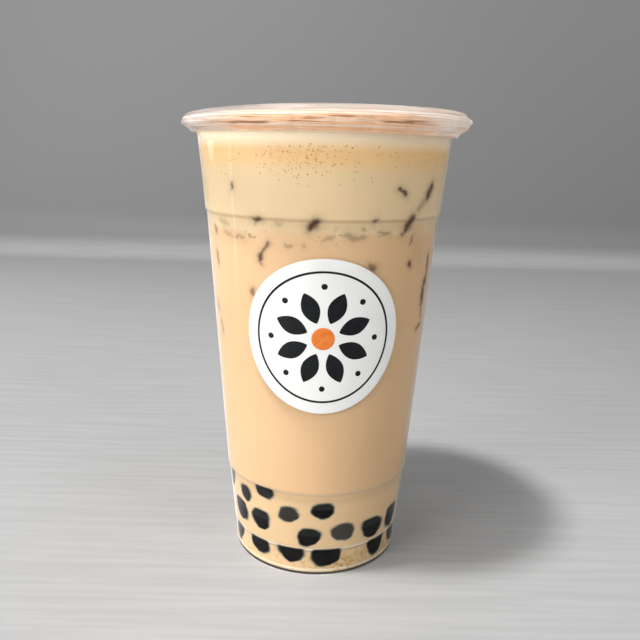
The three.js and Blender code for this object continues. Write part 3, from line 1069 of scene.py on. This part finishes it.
# The last of these is the tone of the painted shade where ice presses on the wall.
SEDIMENT, SCRAP_BROWN, ICE_PAINTED_SHADE = (0.46, 0.28, 0.07), (0.26, 0.14, 0.06), (0.075, 0.026, 0.012)
# Tones of the painted shade lines and painted highlight lines.
PAINTED_SHADE_LINE, PAINTED_HIGHLIGHT_LINE = (0.36, 0.20, 0.09), (0.97, 0.91, 0.80)
PEARL_BLACK, PEARL_FRINGE = (0.004, 0.005, 0.005), (0.11, 0.155, 0.16)
GLINT_SHARE = 0.25
LOW_RING, MIDDLE_RING, HIGH_RING = (ring_z for ring_z, _ in RINGS)
# Height in millimetres, half width, strength and colour of the painted shade and highlight lines on the
# drink, at the rings, the neck and the foot.
PAINTED_SHADE_AND_HIGHLIGHT_LINES = [
    (LOW_RING - 0.595, 1.1, 0.55, PAINTED_SHADE_LINE), (LOW_RING, 0.8, 0.85, PAINTED_HIGHLIGHT_LINE),
    (MIDDLE_RING - 0.21, 1.0, 0.4, PAINTED_SHADE_LINE), (MIDDLE_RING, 0.75, 0.3, PAINTED_HIGHLIGHT_LINE),
    (MIDDLE_RING - 2.2, 3.2, 0.2, PAINTED_SHADE_LINE), (HIGH_RING - 0.3, 1.0, 0.3, PAINTED_SHADE_LINE),
    (HIGH_RING - 1.6, 2.4, 0.14, PAINTED_SHADE_LINE), (151.9, 0.4, 0.15, PAINTED_SHADE_LINE),
    (1.9, 0.75, 0.55, PAINTED_HIGHLIGHT_LINE),
]


def foam_colour(tree, height):
    """Cream, then a warm band and a painted highlight band near the neck, and froth on the top."""
    warm = remap(tree, height, (0.139, 0.1455), (0, 1))
    colour = mix_colour(tree, warm, FOAM_COLOUR, FOAM_ORANGE)
    # A painted highlight band under the neck.
    pale = remap(tree, height, (0.1462, 0.1510), (0, 1))
    colour = mix_colour(tree, pale, colour, FOAM_PAINTED_HIGHLIGHT)
    bubbly = remap(tree, noise(tree, 240, 5), (0.35, 0.65), (0, 1))
    froth = mix_colour(tree, bubbly, FROTH_DARK, FROTH_PALE)
    wall = remap(tree, reach_of(tree), (0.0405, 0.0430), (0, 1))
    collar = remap(tree, height, (0.1518, 0.1532), (0, 1))
    return mix_colour(tree, collar, colour, mix_colour(tree, wall, froth, COLLAR_PEACH))


def tea_colour(tree, height):
    """Cloudy tan, a little yellower below the middle ring."""
    deep = remap(tree, noise(tree, 22, 4), (0.35, 0.7), (0, 0.7))
    bottom = remap(tree, height, (0.0318, 0.0326), (0.65, 0))
    return mix_colour(tree, bottom, mix_colour(tree, deep, TEA_COLOUR, TEA_DEEP), TEA_LOW)


def drink_colour(tree):
    """Tea below and foam above with an uneven soft border, then sediment, scraps, painted shade and
    highlight lines at the rings, neck and foot, the mould line's painted glint and the ice's painted
    shade."""
    height = coordinate(tree, "Z")
    shift = arithmetic(tree, "SUBTRACT", noise(tree, 120, 5, (1, 1, 1.5)), 0.5)
    level = arithmetic(tree, "ADD", height, times(tree, shift, 0.012))
    layer = remap(tree, level, (0.1205, 0.1238), (0, 1))
    colour = mix_colour(tree, layer, tea_colour(tree, height), foam_colour(tree, height))
    low = remap(tree, height, (0.003, 0.0125), (1, 0))
    patch = remap(tree, noise(tree, 90, 3), (0.42, 0.58), (0.2, 1))
    grain = remap(tree, noise(tree, 900, 3), (0.42, 0.62), (0.15, 0.9))
    scraps = remap(tree, noise(tree, 330, 4, (1, 1, 1.7)), (0.57, 0.66), (0, 0.6))
    patchy = remap(tree, noise(tree, 62, 2), (0.47, 0.6), (0, 1))
    band = near_height(tree, height, 121.2, 4.2, 1)
    return coated(tree, colour, [
        (times(tree, low, patch, grain), SEDIMENT),
        (times(tree, scraps, patchy, band), SCRAP_BROWN),
        *level_lines(tree, height, PAINTED_SHADE_AND_HIGHLIGHT_LINES),
        (times(tree, number_of(tree, "mould_glint"), GLINT_SHARE), PAINTED_HIGHLIGHT_LINE),
        (number_of(tree, "ice_shade"), ICE_PAINTED_SHADE),
    ])


def drink_material(name, with_pearls):
    """The drink's skin: its colour, the pearls behind it as darkness, and a little of the light
    that milk scatters inside."""
    material, tree = new_material(name)
    colour = drink_colour(tree)
    if with_pearls:
        veil = number_of(tree, "pearl_veil")
        colour = coated(tree, colour, [
            (remap(tree, veil, (0.02, 0.6), (0, 0.75)), PEARL_FRINGE),
            (remap(tree, veil, (0.3, 0.9), (0, 1)), PEARL_BLACK),
        ])
    shader = principled(
        tree, Roughness=0.45, Specular_IOR_Level=0.25, Subsurface_Weight=0.3,
        Subsurface_Scale=0.003, Subsurface_Radius=(1.0, 0.7, 0.4))
    show(tree, shader, Base_Color=colour)
    return material


foam.data.materials.append(drink_material("milk_foam", with_pearls=False))
tea.data.materials.append(drink_material("milk_tea", with_pearls=True))
print("drink with", len(PAINTED_SHADE_AND_HIGHLIGHT_LINES), "level lines")

# %% [markdown]
# ## Tapioca, bubbles, ice, paper and ink
# The small things are one colour that is never quite even: tapioca from cooking, paper from its
# fibres, ink from the press. One recipe mixes two near tones by noise for all of them, and adds
# a fine bump where the real thing has a tooth.


# %% Mottled finishes
def mottled_material(name, first, second, grain, span, tooth=None, **sockets):
    """Two tones mixed by noise, a grain's scale and detail, from one end of its span to the
    other. The tooth is the scale, detail, distance and strength of a bump."""
    material, tree = new_material(name)
    tone = remap(tree, noise(tree, *grain), span, (0, 1))
    shader = principled(tree, **sockets)
    linked = {"Base_Color": mix_colour(tree, tone, first, second)}
    if tooth:
        linked["Normal"] = bump(tree, noise(tree, *tooth[:2]), *tooth[2:])
    show(tree, shader, **linked)
    return material


EVEN = (0.35, 0.65)
heap.data.materials.append(mottled_material(
    "tapioca", PEARL_BLACK, (0.012, 0.010, 0.008), (300, 3), (0.4, 0.7), (300, 3, 0.0004, 0.4),
    Roughness=0.4, Specular_IOR_Level=0.03))
specks.data.materials.append(mottled_material(
    "spiced_bubble", (0.561, 0.2635, 0.085), (0.66, 0.31, 0.10), (200, 2), EVEN, Roughness=0.4))
ice.data.materials.append(mottled_material(
    "wet_ice", (0.4675, 0.34, 0.221), (0.55, 0.40, 0.26), (200, 2), EVEN, Roughness=0.1))
label.data.materials.append(mottled_material(
    "paper", (0.93, 0.93, 0.90), (0.90, 0.90, 0.87), (120, 4), (0.3, 0.7), (2600, 2, 0.00004, 0.3),
    Roughness=0.5, Specular_IOR_Level=0.3))
black_ink = mottled_material(
    "black_ink", (0.006, 0.007, 0.009), (0.010, 0.011, 0.013), (500, 3), EVEN,
    Roughness=0.5, Specular_IOR_Level=0.2)
for piece in ink_pieces:
    piece.data.materials.append(black_ink)
orange_disc.data.materials.append(mottled_material(
    "orange_ink", (0.80, 0.20, 0.03), (0.86, 0.25, 0.05), (500, 3), EVEN,
    Roughness=0.5, Specular_IOR_Level=0.2))
print(len(bpy.data.materials), "materials so far")

# %% [markdown]
# ## The room
# A pale floor curves up into a greyer backdrop, so that no line shows behind the cup. A small
# lamp high on the left throws the shadow, and a wide one at the front left gives the shape. A
# weak one stands near the cup at the front right, one behind on the left lights the cup's edge,
# and one evens out the backdrop. The rest is a faint light all round.

# %% Floor, lamps and world
FLOOR_HALF = 2.2
FLOOR_BACK = 0.68
BACKDROP_TOP = 2.4
BEND = 0.06
FLOOR_PALE, FLOOR_STREAK, BACKDROP_GREY = (0.44,) * 3, (0.395,) * 3, (0.215,) * 3
ROOM_LIGHT, ROOM_STRENGTH = (0.82, 0.83, 0.85, 1), 0.36


def sweep_mesh():
    """The floor runs back, turns up round a quarter circle and becomes the backdrop, in metres."""
    bend = arc(FLOOR_BACK, BEND, BEND, -90, 0, 24)
    line = np.concatenate([[(-FLOOR_HALF, 0.0)], bend, [(FLOOR_BACK + BEND, BACKDROP_TOP)]])
    across = np.array([-FLOOR_HALF, FLOOR_HALF])
    points = np.stack(np.broadcast_arrays(
        across[None, :], line[:, :1] + 0 * across, line[:, 1:] + 0 * across), axis=-1)
    return points.reshape(-1, 3), grid_faces(len(line), 2, wrap=False)


def floor_material():
    """Pale matt floor with faint streaks from side to side, and a greyer backdrop."""
    material, tree = new_material("floor")
    tone = remap(tree, noise(tree, 14, 6, (1, 22, 1)), (0.3, 0.7), (0, 1))
    pale = mix_colour(tree, tone, FLOOR_PALE, FLOOR_STREAK)
    up = remap(tree, coordinate(tree, "Z"), (0.004, 0.03), (0, 1))
    shader = principled(tree, Roughness=0.6)
    show(tree, shader, Base_Color=mix_colour(tree, up, pale, BACKDROP_GREY))
    return material


def add_lamp(name, place, aim, size, power):
    """A round lamp at a place in metres, turned to face its aim. It isn't seen through plastic."""
    data = bpy.data.lights.new(name, "AREA")
    data.shape = "DISK"
    data.size, data.energy = size, power
    lamp = bpy.data.objects.new(name, data)
    bpy.context.scene.collection.objects.link(lamp)
    back = np.array(place, float) - np.array(aim, float)
    back /= np.linalg.norm(back)
    right = np.cross([0, 0, 1], back)
    right /= np.linalg.norm(right)
    turn = np.eye(4)
    turn[:3, :3] = np.array([right, np.cross(back, right), back]).T
    turn[:3, 3] = place
    lamp.matrix_world = Matrix(turn.tolist())
    lamp.visible_transmission = False


points, faces = sweep_mesh()
floor_data = bpy.data.meshes.new("floor")
floor_data.from_pydata(points.tolist(), [], faces.tolist())
floor_data.shade_smooth()
floor = bpy.data.objects.new("floor", floor_data)
bpy.context.scene.collection.objects.link(floor)
floor.data.materials.append(floor_material())

add_lamp("key", (-0.25, -0.16, 1.0), (0, 0, 0.06), 0.10, 9.0)
add_lamp("side", (-0.98, -0.82, 0.36), (0, 0, 0.08), 0.80, 11.8)
add_lamp("fill", (0.26, -0.24, 0.36), (0, 0, 0.16), 0.16, 0.46)
add_lamp("edge", (-0.85, 0.45, 0.30), (0.2, -0.9, 0.08), 0.50, 2.0)
add_lamp("backdrop", (0.90, 0.20, 0.60), (0.55, 0.74, 0.30), 0.40, 1.3)

world = bpy.data.worlds.new("room")
bpy.context.scene.world = world
world.use_nodes = True
room = world.node_tree.nodes["Background"]
room.inputs["Color"].default_value = ROOM_LIGHT
room.inputs["Strength"].default_value = ROOM_STRENGTH
bpy.context.scene.view_settings.view_transform = "Standard"
print(len(bpy.data.lights), "lamps")
